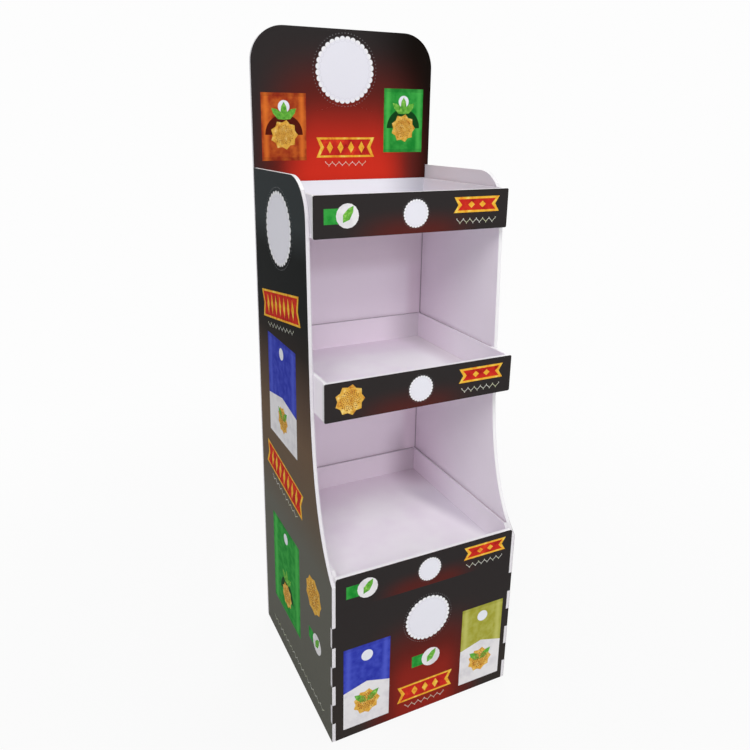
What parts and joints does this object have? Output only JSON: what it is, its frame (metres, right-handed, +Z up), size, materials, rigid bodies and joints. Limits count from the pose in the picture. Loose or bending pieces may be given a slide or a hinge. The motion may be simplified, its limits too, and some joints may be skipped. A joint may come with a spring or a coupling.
{
  "type": "foam board display shelf",
  "caption": "Freestanding stepped display shelf of white foam board with open trays, flared sides, a rounded header and dark printed faces.",
  "frame": {"origin": "on the floor, in the middle of the shelf's footprint", "axes": "+Z up, the open trays face -Y, +X to the right seen from the front"},
  "size_m": [0.401, 0.3976, 1.323],
  "materials": {
    "foam_board": "satin white foam board, cut edges slightly rough",
    "black_print": "satin printed film, near-black ground",
    "red_field_print": "satin printed film, deep red glow",
    "white_print": "satin printed film, white",
    "green_print": "satin printed film, leaf green",
    "orange_print": "satin printed film, burnt orange",
    "ribbon_print": "satin printed film, bright red",
    "yellow_print": "satin printed film, warm yellow",
    "blue_print": "satin printed film, deep blue",
    "olive_print": "satin printed film, olive",
    "leaf_print": "satin printed film, light leaf green",
    "gold_print": "satin printed film, golden brown"
  },
  "bodies": {
    "root": {"back_board": "foam_board", "base_bottom_board": "foam_board", "base_front_board": "foam_board", "base_front_print": "black_print", "base_rib_across": "foam_board", "base_rib_fore_aft": "foam_board", "header_print": "black_print", "left_side_board": "foam_board", "left_side_print": "black_print", "low_tray_back_wall": "foam_board", "low_tray_floor": "foam_board", "low_tray_left_wall": "foam_board", "low_tray_right_wall": "foam_board", "middle_tray_back_wall": "foam_board", "middle_tray_floor": "foam_board", "middle_tray_front": "foam_board", "middle_tray_left_wall": "foam_board", "middle_tray_print": "black_print", "middle_tray_right_wall": "foam_board", "print_blue_fields": "blue_print", "print_gold_fields": "gold_print", "print_green_fields": "green_print", "print_leaf_fields": "leaf_print", "print_olive_fields": "olive_print", "print_orange_fields": "orange_print", "print_red_fields": "red_field_print", "print_ribbon_borders": "yellow_print", "print_ribbons": "ribbon_print", "print_white_fields": "white_print", "right_side_board": "foam_board", "right_side_print": "black_print", "top_tray_back_wall": "foam_board", "top_tray_floor": "foam_board", "top_tray_front": "foam_board", "top_tray_left_wall": "foam_board", "top_tray_print": "black_print", "top_tray_right_wall": "foam_board"}
  },
  "joints": []
}
